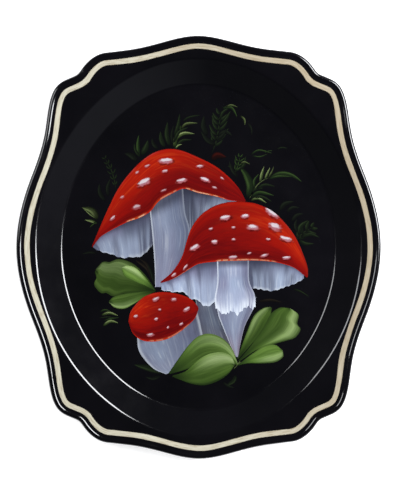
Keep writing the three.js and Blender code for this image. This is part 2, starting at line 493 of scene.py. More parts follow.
def painted(name, films, finish):
    """One object made of several films, with its colours and brush directions kept as attributes."""
    sizes = [len(points) for points, *_ in films]
    shifts = np.cumsum([0] + sizes[:-1])
    faces = [
        [corner + shift for corner in face]
        for (_, film_faces, *_), shift in zip(films, shifts)
        for face in film_faces
    ]
    points, colours, strokes = (np.concatenate([part[k] for part in films]) for k in (0, 2, 3))
    piece = mesh_object(name, points, faces)
    add_paint(piece, colours, strokes)
    return finished(piece, finish)


def add_paint(piece, colours, strokes):
    """Stores each point's colour and its place along and across the brush strokes, in millimetres."""
    laid = piece.data.attributes.new("paint", "FLOAT_COLOR", "POINT")
    laid.data.foreach_set("color", np.column_stack([colours, np.ones(len(colours))]).ravel())
    stroke = piece.data.attributes.new("stroke", "FLOAT_VECTOR", "POINT")
    stroke.data.foreach_set("vector", np.column_stack([strokes, np.zeros(len(strokes))]).ravel())


def finished(piece, finish):
    """Gives a piece its finish and lets it ride on the tray."""
    piece.data.materials.append(finish)
    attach(piece, "root")
    return piece


def between(first, second, rows, columns):
    """A grid of places between two edges, both run the same way: row 0 lies on the first edge, the last on
    the second. Also gives the share across (0 to 1) and the share along."""
    first, second = smooth(first, columns), smooth(second, columns)
    across, along = np.meshgrid(np.linspace(0, 1, rows), np.linspace(0, 1, columns), indexing="ij")
    place = first + (second - first) * across[..., None]
    return place, across, along


def dab(place, centre, length, width, angle, soft=0.25):
    """The share that a brush dab covers: an oval of these half sizes, turned by an angle in degrees, with a
    ragged border, whose cover falls from 1 to 0 over the soft outer part."""
    turn = math.radians(angle)
    x, y = place[..., 0] - centre[0], place[..., 1] - centre[1]
    along, across = x * math.cos(turn) + y * math.sin(turn), y * math.cos(turn) - x * math.sin(turn)
    rag = grain(x * 0.6 + 60, y * 0.8 + 60, int(abs(centre[0] * 11 + centre[1] * 5))) - 0.5
    return 1 - ramp(np.hypot(along / length, across / width) + 0.6 * rag, 1 - soft, 1 + soft)


# ---- The mushrooms ------------------------------------------------------------------------------------

RED, CRIMSON, DEEP_RED = paint_tone(166, 18, 8), paint_tone(116, 8, 13), paint_tone(72, 4, 8)
SCARLET, ORANGE = paint_tone(204, 38, 12), paint_tone(226, 84, 30)
CREAM, ROSE = paint_tone(246, 210, 168), paint_tone(198, 84, 82)
SPOT, SPOT_SHADE = paint_tone(240, 226, 232), paint_tone(190, 132, 146)
GREY_BLUE, PALE_BLUE = paint_tone(116, 126, 152), paint_tone(170, 184, 208)
WHITE = paint_tone(226, 234, 242)
SLATE, PLUM = paint_tone(58, 60, 78), paint_tone(132, 114, 142)

# Rows across and columns along each kind of stroke.
CAP_GRID = (150, 300)
GILL_GRID = (70, 220)
STEM_GRID = (90, 200)
LEAF_GRID = (90, 150)
BLADE_GRID = (13, 40)


def cap(rim, crown, spots, glints, light, shade, seed):
    """A red cap between its rim and its crown line. Across the cap from the rim (0) to the crown (1) the
    red goes from crimson shade over clear red to a scarlet light, and into shade again at both ends;
    lilac-white wart spots with a rose edge and a dark lower side lie on it, and glints of cream run along
    the rim. The light lies high up at the share `light` along, the deepest crimson halfway up at the share
    `shade`."""
    place, up, along = between(rim, crown, *CAP_GRID)
    length = travelled(smooth(crown, CAP_GRID[1]))[-1]
    height = np.linalg.norm(place[-1] - place[0], axis=-1).max()
    wide = grain(along * 5, up * 7, seed + 2)
    brush = grain(along * 9, up * 34, seed) * 0.6 + grain(along * 26, up * 60, seed + 1) * 0.4
    ends = np.minimum(along, 1 - along)
    lit = near(up, 0.78, 0.24) * near(along, light, 0.3)
    paint = ground(RED, place.shape[:2])
    paint = laid_over(paint, CRIMSON, 0.6 * ramp(wide + 0.5 * brush, 0.6, 1.2))
    deep = near(up, 0.5, 0.34) * near(along, shade, 0.26)
    paint = laid_over(paint, CRIMSON, 0.75 * deep * (0.4 + brush))
    paint = laid_over(paint, DEEP_RED, 0.25 * deep * ramp(wide, 0.4, 0.8))
    paint = laid_over(paint, SCARLET, 0.85 * lit * (0.45 + brush))
    paint = laid_over(paint, ORANGE, 0.35 * lit * ramp(brush, 0.5, 0.8))
    paint = laid_over(paint, CRIMSON, 0.65 * (1 - ramp(up, 0.04, 0.45)) * (0.5 + 0.6 * brush))
    paint = laid_over(paint, CRIMSON, 0.6 * (1 - ramp(ends, 0.0, 0.14)) * (0.6 + 0.5 * brush))
    paint = laid_over(paint, SCARLET, 0.5 * near(up, 0.965, 0.03) * ramp(ends, 0.04, 0.2) * (0.4 + brush))
    rosy = near(up, 0.98, 0.012) * near(along, light, 0.2)
    paint = laid_over(paint, ROSE, 0.6 * rosy * ramp(brush, 0.3, 0.6))
    paint = laid_over(paint, DEEP_RED, 0.6 * ramp(up, 0.985, 1.0))
    paint = laid_over(paint, DEEP_RED, 0.45 * near(up, 0.14, 0.09) * ramp(ends, 0.05, 0.2) * (0.5 + brush))
    below = up * height  # millimetres above the rim, at the cap's highest place
    paint = laid_over(paint, SCARLET, 0.9 * near(below, 0.5, 0.9))
    for start, end, strength in glints:
        run = ramp(place[..., 0], start, start + 4) * (1 - ramp(place[..., 0], end - 4, end))
        paint = laid_over(paint, ORANGE, 0.8 * strength * run * near(below, 0.7, 1.2))
        broken = ramp(grain(place[..., 0] * 0.5 + 90, 0, seed + 3), 0.2, 0.6)
        paint = laid_over(paint, CREAM, strength * run * broken * near(below, 0.8, 0.5))
    for x, y, half_length, half_width, angle, strength in spots:
        size = 0.9 * np.array([half_length, half_width])
        dark = dab(place, (x + 0.3, y - 0.9), *(1.1 * size), angle)
        paint = laid_over(paint, DEEP_RED, 0.7 * strength * dark)
        paint = laid_over(paint, ROSE, strength * dab(place, (x, y), *size, angle))
        paint = laid_over(paint, SPOT_SHADE, 0.85 * strength * dab(place, (x, y), *(0.82 * size), angle))
        top = (x - 0.1, y + 0.36 * half_width)
        paint = laid_over(paint, SPOT, strength**0.6 * dab(place, top, *(size * (0.76, 0.5)), angle))
    stroke = np.stack([along * length, up * height], -1)
    return place, paint, stroke


def gills(edge, hem, dark_end, seed, shade=0.5, tint=PLUM, light=0.5, gain=1.0):
    """Gills between the cap's edge and their hem: pale strokes that fan out across the grid, in shadow
    under the cap, lighter towards a white, slightly scalloped hem. dark_end is the share along where they
    are darkest, light the share where they are lightest, and gain makes the whole fan lighter or darker."""
    place, down, along = between(edge, hem, *GILL_GRID)
    ruffle = 0.35 * np.sin(along[-1] * 2 * np.pi * 9 + 3 * grain(along[-1] * 6, 0, seed))
    place[..., 1] += ruffle * ramp(down, 0.6, 1.0)
    bowed = along + 0.09 * (along - dark_end) * np.sin(np.pi * down / 2)
    broad = grain(bowed * 9, down * 1.2, seed)
    streak = 0.6 * grain(bowed * 24, down * 1.4, seed + 3) + 0.4 * broad
    hair = grain(bowed * 80, down * 2.4, seed + 1)
    paint = ground(GREY_BLUE, place.shape[:2])
    paint = laid_over(paint, tint, 0.4 * grain(along * 5, down * 2, seed + 2))
    paint = laid_over(paint, SLATE, shade * near(along, dark_end, 0.3) * (0.7 + 0.5 * broad))
    lit = near(along, light, 0.3) * ramp(down, 0.12, 0.7)
    paint = laid_over(paint, SLATE, 0.45 * ramp(1 - broad, 0.4, 0.75))
    paint = laid_over(paint, PALE_BLUE, lit * (0.3 + 1.1 * broad))
    paint = laid_over(paint, PALE_BLUE, 0.5 * ramp(streak, 0.35, 0.7) * ramp(down, 0.1, 0.7))
    pale = ramp(hair, 0.6, 0.95) * ramp(down, 0.25, 0.8)
    paint = laid_over(paint, WHITE, 0.4 * pale * (0.35 + 0.65 * lit))
    paint = laid_over(paint, SLATE, 0.25 * ramp(1 - streak, 0.5, 0.85) * (1 - ramp(down, 0.4, 1.0)))
    paint = laid_over(paint, SLATE, 0.85 * (1 - ramp(down, 0.04, 0.26)))
    paint = laid_over(paint, WHITE, 0.5 * ramp(down, 0.88, 1.0) * ramp(streak, 0.25, 0.6))
    stroke = np.stack([down * 20, along * 60], -1)
    return place, paint * gain, stroke


def stem(left, right, seed, light=0.35, hem=0.0, foot=GREY_BLUE, gain=1.0, turned=0.25):
    """A stem between its left and right edges, both run from the cap down: long fibres, a white line down
    each edge, shadow under the cap, and a ragged, drooping white hem where hem is more than 0. turned is
    the strength of the line down the right edge."""
    place, across, down = between(left, right, *STEM_GRID)
    length = travelled(smooth(left, STEM_GRID[1]))[-1]
    fibre = 0.6 * grain(across * 7, down * 1.6, seed) + 0.4 * grain(across * 20, down * 3, seed + 5)
    hair = grain(across * 55, down * 4, seed + 1)
    foot_line = across[:, -1]
    rag = grain(foot_line * 11, 0, seed + 2) + 0.6 * grain(foot_line * 27, 0, seed + 3) - 0.8
    droop = hem * rag + 0.8 * hem * np.sin(np.pi * foot_line)
    place[..., 1] -= droop[:, None] * ramp(down, 0.6, 1.0)
    paint = ground(GREY_BLUE, place.shape[:2])
    paint = laid_over(paint, foot, ramp(down, 0.45, 1.0))
    paint = laid_over(paint, PALE_BLUE, 0.8 * near(across, light, 0.34) * (0.45 + 0.7 * fibre))
    paint = laid_over(paint, SLATE, 0.25 * ramp(1 - fibre, 0.5, 0.9) * ramp(across, 0.0, 0.7))
    paint = laid_over(paint, SLATE, 0.35 * ramp(across, 0.72, 1.0))
    paint = laid_over(paint, WHITE, 0.35 * ramp(hair, 0.62, 0.95) * (0.3 + 0.7 * near(across, light, 0.4)))
    paint = laid_over(paint, PLUM, 0.3 * grain(across * 4, down * 4, seed + 4))
    paint = laid_over(paint, SLATE, 0.8 * (1 - ramp(down, 0.06, 0.2)))
    paint = laid_over(paint, WHITE, 0.65 * near(across, 0.015, 0.025) + turned * near(across, 0.98, 0.02))
    if hem:
        paint = laid_over(paint, WHITE, 0.8 * ramp(down, 0.75, 1.0) * ramp(hair + fibre, 0.5, 1.1))
    stroke = np.stack([down * length, across * 30], -1)
    return place, paint * gain, stroke


LARGE_CAP_RIM = [
    (-91.4, 0.3), (-84, 9.5), (-72.4, 16.4), (-61, 22), (-50, 25.8), (-41.5, 30.8), (-34, 39.6), (-23, 46),
    (-12.8, 50.3), (-0.3, 46.8), (15.7, 43.4), (27, 40.2), (40.4, 39),
]
LARGE_CAP_CROWN = [
    (-91.6, 1.4), (-88, 10), (-78.5, 31.6), (-69, 50.6), (-59.4, 63.6), (-48.2, 74.8), (-38.7, 81.2),
    (-27.4, 84.5), (-16.2, 83.7), (-0.6, 77.6), (15.8, 69), (28.8, 57.7), (35.9, 48.9), (40.6, 39.9),
]
LARGE_CAP_SPOTS = [  # x, y, half length, half width, angle, strength
    (-27.9, 74.3, 6.4, 2.6, 4, 1.0),
    (-46.5, 56.1, 6.9, 3.0, 27, 1.0),
    (-14.7, 57.2, 4.9, 2.1, 12, 0.9),
    (6.1, 57.9, 5.0, 2.0, -18, 0.95),
    (1.6, 69.6, 3.6, 1.4, 4, 0.8),
    (-28.6, 65.5, 2.7, 1.4, 10, 0.7),
    (-53.1, 34.8, 4.2, 2.4, 15, 0.4),
    (-73.9, 25.2, 3.6, 1.5, 42, 0.6),
    (-43.9, 70, 2.8, 1.2, 20, 0.4),
    (-52.5, 64.4, 2.2, 1.2, 30, 0.35),
    (20.5, 59.1, 2.0, 1.1, -30, 0.45),
    (14.1, 51.1, 2.6, 1.1, -20, 0.45),
    (-30, 48.9, 3.2, 1.0, 20, 0.35),
    (-65.5, 43.2, 2.8, 1.3, 25, 0.3),
]
MIDDLE_CAP_RIM = [
    (-32.4, -30.6), (-25.7, -28.6), (-17.9, -25), (-8.4, -19), (-0.6, -14.6), (15.8, -12.4), (33.1, -11.8),
    (50.9, -11.8), (66.9, -13.4), (81.6, -17.8), (90.5, -24.5), (93, -26.6),
]
MIDDLE_CAP_CROWN = [
    (-32.8, -29.6), (-22.7, -21), (-14.4, -8.2), (-10.1, 5.6), (-6.5, 15.6), (1.1, 26.8), (12.4, 34.8),
    (25.3, 38.6), (38.3, 39), (50.9, 36.8), (65.1, 29.6), (74.6, 20.3), (82.9, 9.1), (89.4, -5.2),
    (93.7, -18.5), (93.8, -25.6),
]
MIDDLE_CAP_SPOTS = [
    (22.9, 25.2, 5.5, 2.4, 12, 1.0),
    (40, 26.4, 3.9, 2.1, 5, 1.0),
    (62.9, 29.2, 7.4, 2.7, -36, 1.0),
    (46.9, 16.7, 5.5, 2.7, -6, 1.0),
    (65.7, 17.2, 6.2, 3.7, -22, 0.9),
    (74.9, 6.8, 6.2, 2.2, -16, 1.0),
    (13.7, 4.4, 3.0, 2.1, 8, 0.95),
    (-3.5, -0.4, 5.0, 2.5, 28, 0.95),
    (29.7, -8.9, 4.2, 1.6, 4, 0.6),
    (56.5, -7.4, 3.8, 1.5, 16, 0.75),
    (75.5, -9.5, 3.9, 1.5, 6, 0.8),
    (10.6, 15.6, 2.1, 1.3, 10, 0.8),
    (30.1, 16.9, 1.8, 1.1, 0, 0.75),
    (30.1, 6.5, 1.9, 1.2, 0, 0.75),
    (59.7, 6.5, 2.3, 1.1, -5, 0.7),
    (43.7, -5.5, 2.4, 1.0, 15, 0.5),
    (-11.5, -17.2, 3.2, 1.3, 52, 0.6),
    (-21.5, -23.8, 2.6, 1.3, 35, 0.7),
]
SMALL_CAP_RIM = [
    (-60.2, -65.2), (-56.8, -73.6), (-49.9, -79.4), (-38.7, -81), (-25.7, -78.2), (-12.7, -69.9),
    (-3.2, -60.6), (-0.6, -54.2),
]
SMALL_CAP_CROWN = [
    (-60.6, -63.8), (-59.2, -56.4), (-54.7, -49.4), (-46.5, -42), (-33.9, -38.4), (-17.9, -40),
    (-6.7, -44.6), (-0.9, -51), (-0.2, -53.2),
]
SMALL_CAP_SPOTS = [
    (-36.8, -44.4, 3.8, 1.7, 22, 0.8),
    (-21.4, -44.9, 3.0, 1.6, 5, 0.55),
    (-54.3, -59.3, 2.2, 1.6, 20, 0.55),
    (-10.7, -53.5, 3.8, 1.8, 26, 0.65),
    (-41.9, -75.2, 3.6, 1.6, 8, 0.65),
    (-33.5, -53.5, 1.6, 1.0, 0, 0.6),
    (-36.8, -61.7, 2.0, 1.3, 20, 0.8),
    (-26.7, -68.9, 1.4, 1.1, 60, 0.7),
    (-15.1, -66, 2.1, 1.2, 25, 0.7),
]

# Each mushroom piece: how many coats up it lies, and its grid, colours and brush directions. What goes
# under a cap or under a stem runs on below it, so that no lacquer shows between them.
MUSHROOMS = {
    "large_gills_right": (4, gills(
        [(-18, 50), (-10, 53), (-0.3, 50), (15.7, 46.5), (34, 42)],
        [(-17, 6), (-8, 10), (0, 16), (10, 25), (30, 34)],
        dark_end=0.15, seed=21, shade=0.7, light=0.6, gain=0.8)),
    "large_gills_left": (4, gills(
        [(-90.6, 1.6), (-84, 12), (-70, 20.6), (-56, 27), (-46, 31.6), (-36, 37)],
        [
            (-90.4, -0.4), (-82.5, -3.8), (-74.1, -6), (-65.9, -8.9), (-57.7, -8.2), (-51.6, -8.2),
            (-46, -5), (-39, 3),
        ],
        dark_end=1.0, seed=22, shade=0.75, light=0.42)),
    "large_stem": (5, stem(
        [(-42.4, 36), (-40.2, 15.6), (-38.9, -0.4), (-37.8, -16.4), (-37.4, -34)],
        [(-13.2, 54), (-11.4, 30), (-7.5, 14), (-12, -8), (-24, -34)],
        seed=31, light=0.3, foot=paint_tone(132, 130, 158))),
    "large_cap": (7, cap(
        LARGE_CAP_RIM, LARGE_CAP_CROWN, LARGE_CAP_SPOTS,
        [(-63, -44, 0.95), (-41, -17, 0.45), (-12, 24, 0.9)],
        light=0.42, shade=0.78, seed=41)),
    "middle_stem_shadow": (6, stem(
        [(-3, -42), (-2, -56), (-1, -78)], [(16, -42), (24, -66), (35, -92)],
        seed=36, light=0.45, foot=paint_tone(118, 104, 110), gain=0.48)),
    "middle_stem_foot": (7, stem(
        [(14.5, -46), (17, -60), (19.4, -66), (25.3, -80.4), (31.4, -94)],
        [(49.5, -43), (47, -53), (39.9, -67), (35.4, -84), (33.6, -95)],
        seed=37, light=0.5, foot=paint_tone(136, 116, 124), gain=1.15)),
    "middle_gills_left": (8, gills(
        [(-32.2, -29.4), (-25.7, -27), (-17.9, -23.4), (-8.4, -17), (-0.6, -12.4), (18, -10.6)],
        [
            (-32.2, -36.6), (-22, -38.4), (-13, -38.8), (-6.7, -44.6), (-1, -45.4), (4, -50.2),
            (9.6, -50.2), (16.4, -44),
        ],
        dark_end=0.85, seed=23, shade=0.3, light=0.45, gain=1.45)),
    "middle_gills_right": (8, gills(
        [(41.6, -10.4), (56, -10.6), (66.9, -11.4), (81.6, -15.8), (90.6, -23.6)],
        [(44, -35), (55, -36.8), (63.7, -37.8), (74.9, -34.4), (82.9, -31.6), (90.4, -27.4)],
        dark_end=0.1, seed=24, shade=0.7, tint=paint_tone(122, 112, 134), light=0.6, gain=1.15)),
    "middle_stem": (9, stem(
        [(15.7, -10.6), (15.8, -30.7), (13.6, -44), (14.4, -54)],
        [(43.2, -10.6), (43.8, -30.7), (48.2, -41), (48.8, -50.5)],
        seed=34, light=0.5, hem=5.0, foot=paint_tone(176, 184, 206), gain=1.45)),
    "middle_cap": (11, cap(
        MIDDLE_CAP_RIM, MIDDLE_CAP_CROWN, MIDDLE_CAP_SPOTS,
        [(-24, -6, 0.4), (14, 45, 0.6), (42, 68, 0.5)],
        light=0.86, shade=0.3, seed=42)),
    "small_stem": (10, stem(
        [(-53.4, -76), (-52, -88), (-46.5, -97), (-38, -105), (-28.5, -109)],
        [(-1.6, -54), (1.8, -68), (3.4, -80), (-1, -92), (-13, -103)],
        seed=38, light=0.22, foot=paint_tone(146, 148, 168), gain=0.9, turned=0.6)),
    "small_cap": (12, cap(
        SMALL_CAP_RIM, SMALL_CAP_CROWN, SMALL_CAP_SPOTS,
        [(-44, -6, 0.35)],
        light=0.2, shade=0.6, seed=43)),
}


# ---- The leaves ---------------------------------------------------------------------------------------

DARK_LEAF, MID_LEAF = paint_tone(26, 42, 18), paint_tone(78, 108, 42)
LIGHT_LEAF, PALE_LEAF = paint_tone(122, 156, 72), paint_tone(170, 192, 132)


def leaf(left, right, lit, seed, dark=0.5, pale=0.6, gain=1.0, fade=(1.0, 1.0)):
    """A broad leaf between two edges, both run from its base to its tip: dark at the base and along the
    middle, the strokes lighter towards the lit edge (0 the left one, 1 the right one), a thin pale line
    along that edge, and the paint thinning out at its border, by the strength of fade at the left and the
    right edge. gain makes the whole leaf lighter or darker."""
    place, across, along = between(left, right, *LEAF_GRID)
    coarse = grain(across * 6 + along, along * 1.6, seed)
    hair = grain(across * 40 + along * 3, along * 3, seed + 1)
    sweep = 0.5 * coarse + 0.25 * grain(across * 16 + along * 2, along * 2.5, seed + 2) + 0.25 * hair
    to_edge = np.abs(across - lit)
    paint = ground(MID_LEAF, place.shape[:2])
    lighter = ramp(sweep, 0.3, 0.75) * ramp(along, 0.1, 0.6)
    paint = laid_over(paint, LIGHT_LEAF, lighter * (1 - 0.55 * to_edge))
    darker = near(to_edge, 0.7, 0.34) * (1 - 0.6 * ramp(along, 0.45, 1.0))
    paint = laid_over(paint, DARK_LEAF, dark * darker)
    paint = laid_over(paint, DARK_LEAF, 0.9 * (1 - ramp(along, 0.02, 0.36)) * (0.8 + 0.3 * hair))
    sheen = near(to_edge, 0.2, 0.2) * ramp(along, 0.25, 0.7) * (0.3 + 0.9 * sweep)
    paint = laid_over(paint, PALE_LEAF, pale * sheen)
    paint = laid_over(paint, DARK_LEAF, 0.5 * ramp(to_edge, 0.86, 1.0))
    paint = laid_over(paint, LIGHT_LEAF, 0.2 * near(to_edge, 0.05, 0.04) * ramp(along, 0.3, 0.6))
    rag = 0.08 * (coarse - 0.5) + 0.03 * (hair - 0.5)
    for border, strength in ((across, fade[0]), (1 - across, fade[1]), (1 - along, max(fade))):
        paint = laid_over(paint, DARK_LEAF, 0.85 * strength * (1 - ramp(border + rag, 0.0, 0.12)))
    stroke = np.stack([along * 40, across * 25], -1)
    return place, paint * gain, stroke


LEAVES = {
    "left_leaf_back": (9, leaf(
        [
            (-37.1, -36.6), (-43, -27.5), (-49.9, -19.4), (-57.9, -13), (-69, -9.8), (-76.6, -12.4),
            (-82, -12.2), (-87.6, -17.2),
        ],
        [
            (-37.4, -37.6), (-50, -38.6), (-64.3, -39.4), (-73, -42), (-79.6, -39), (-84, -39),
            (-90, -31.4), (-88, -26), (-89.4, -21),
        ],
        lit=0, seed=51, gain=0.8, fade=(0.9, 0.5))),
    "left_leaf_low": (10, leaf(
        [(-37.1, -37), (-49.9, -38), (-64.3, -39.6), (-73.9, -42.8), (-77.3, -46)],
        [(-37.3, -37.8), (-46.7, -42.6), (-56.3, -48.8), (-64.3, -52.6), (-72.3, -51.6), (-77, -47.4)],
        lit=1, seed=52, fade=(0.1, 0.9))),
    "left_leaf_front": (11, leaf(
        [(-37.9, -36), (-46.7, -25.2), (-54.7, -17.4), (-61.5, -15.6), (-65.7, -16.8)],
        [(-38.2, -36.8), (-46.7, -32.6), (-56.3, -28.8), (-63.8, -24.6), (-66.2, -18.4)],
        lit=0, seed=53, dark=0.15, pale=1.0, gain=1.5, fade=(0.1, 0.3))),
    "low_leaf_back": (13, leaf(
        [
            (-26.2, -108), (-17.9, -96), (-8.3, -83.4), (-0.3, -76.4), (9.3, -74.3), (20.5, -78.6),
            (28.7, -88), (33.2, -100),
        ],
        [(-25.4, -109), (-10, -104.5), (5, -97), (17, -95), (27, -99), (32.6, -101.6)],
        lit=0, seed=54, gain=1.15, fade=(0.6, 0.0))),
    "low_leaf_front": (14, leaf(
        [
            (-23, -110.2), (-13, -107.2), (-8, -103.6), (0, -96.4), (9.3, -91.6), (20.5, -90.6),
            (27.9, -94), (30.6, -100.4),
        ],
        [
            (-22.6, -111.4), (-16.3, -114), (-6.7, -117.4), (4.5, -118.6), (15.7, -115.2), (25.3, -108.8),
            (30.4, -102),
        ],
        lit=0, seed=55, dark=0.4, pale=0.9, fade=(0.0, 0.8))),
    "right_leaf_high": (10, leaf(
        [(32.8, -96), (36.5, -85.2), (41.3, -72.4), (47.7, -58.4), (55.7, -52.4), (61.4, -51.4)],
        [(33.8, -96.4), (43, -86), (54, -73), (61, -61), (62.8, -52.6)],
        lit=0, seed=56, dark=0.6, fade=(0.9, 0.1))),
    "right_leaf_wide": (11, leaf(
        [(33.8, -97.6), (46, -83), (56, -68), (62.4, -57), (70.1, -52.2), (78.2, -52.8)],
        [
            (34.4, -98.6), (50, -88.4), (63.7, -83.8), (74.9, -80.6), (82.6, -78), (87.2, -70.8),
            (84.6, -66.4), (85.6, -58.4), (79, -53),
        ],
        lit=1, seed=57, dark=0.6, gain=1.1, fade=(0.2, 0.8))),
    "right_leaf_low": (12, leaf(
        [(33.4, -101), (46.1, -91.4), (57.3, -84.4), (65.3, -84.2), (71.2, -88.2)],
        [(33.7, -101.8), (41.3, -100.1), (55.7, -100), (66.9, -98.5), (72.5, -94), (72, -89.6)],
        lit=1, seed=58, dark=0.2, pale=0.7, gain=1.35, fade=(0.2, 0.8))),
}


# ---- The dark foliage ---------------------------------------------------------------------------------

# Tones of the brush, from its dark side to its light side.
FAINT = (paint_tone(14, 18, 14), paint_tone(31, 39, 27))
DARK = (paint_tone(17, 25, 15), paint_tone(42, 56, 32))
GREEN = (paint_tone(20, 32, 17), paint_tone(62, 86, 42))
OLIVE = (paint_tone(32, 40, 20), paint_tone(112, 128, 78))
BRIGHT = (paint_tone(46, 62, 28), paint_tone(156, 174, 112))
BROWN = (paint_tone(18, 15, 13), paint_tone(42, 36, 28))
WINE = (paint_tone(22, 8, 8), paint_tone(66, 18, 12))


def blade(knots, width, tone):
    """One leaf laid with one press of the brush: a ribbon along a smooth spine, whose width swells from the
    heel and runs out to a point. One side takes the light, the rib stays dark, and the paint thins out at
    heel and edges."""
    spine = smooth(knots, BLADE_GRID[1])
    tangent = unit(np.gradient(spine, axis=0))
    aside = np.stack([-tangent[:, 1], tangent[:, 0]], -1)
    across, along = np.meshgrid(
        np.linspace(-1, 1, BLADE_GRID[0]), np.linspace(0, 1, BLADE_GRID[1]), indexing="ij"
    )
    swell = width / 2 * np.maximum(np.sin(np.pi * along**0.75) ** 0.7, 0.06)
    place = spine + aside * (across * swell)[..., None]
    seed = int(abs(knots[0][0] * 7 + knots[0][1] * 13)) % 997
    hairs = grain(across * 5 + 20, along * 2.5, seed)
    shine = near(across, 0.45, 0.55) * ramp(along, 0.05, 0.45) * (0.45 + 0.75 * hairs)
    paint = ground(tone[0], place.shape[:2])
    paint = laid_over(paint, tone[1], shine)
    paint = laid_over(paint, tone[0], 0.7 * near(across, 0.0, 0.16))
    paint = laid_over(paint, LACQUER, 0.85 * (1 - ramp(along, 0.0, 0.14)))
    paint = laid_over(paint, LACQUER, 0.85 * ramp(np.abs(across) + 0.3 * (hairs - 0.5), 0.55, 1.0))
    stroke = np.stack([along * 12, across * width], -1)
    return place, paint, stroke


def twig(knots, tone):
    """A thin stalk, lit evenly."""
    return blade(knots, 0.9, (tone[1] * 0.6, tone[1] * 0.8))


def sprig(stalk, pairs, length, width, lean, tone):
    """A twig with pairs of small leaves, longest in its middle, each leaning forward by the angle given."""
    line = smooth(stalk, 60)
    forward = unit(np.gradient(line, axis=0))
    leaves = [twig(stalk, tone)]
    for i, share in enumerate(np.linspace(0.15, 1.0, pairs)):
        at = int(share * (len(line) - 1))
        reach = length * (0.55 + 0.45 * math.sin(math.pi * share))
        for side in (-1, 1):
            angle = math.atan2(forward[at][1], forward[at][0]) + side * math.radians(lean + 6 * (i % 3))
            bend = angle + side * math.radians(-18)
            middle = line[at] + 0.5 * reach * np.array([math.cos(angle), math.sin(angle)])
            tip = middle + 0.5 * reach * np.array([math.cos(bend), math.sin(bend)])
            leaves.append(blade([line[at], middle, tip], width, tone))
    return leaves


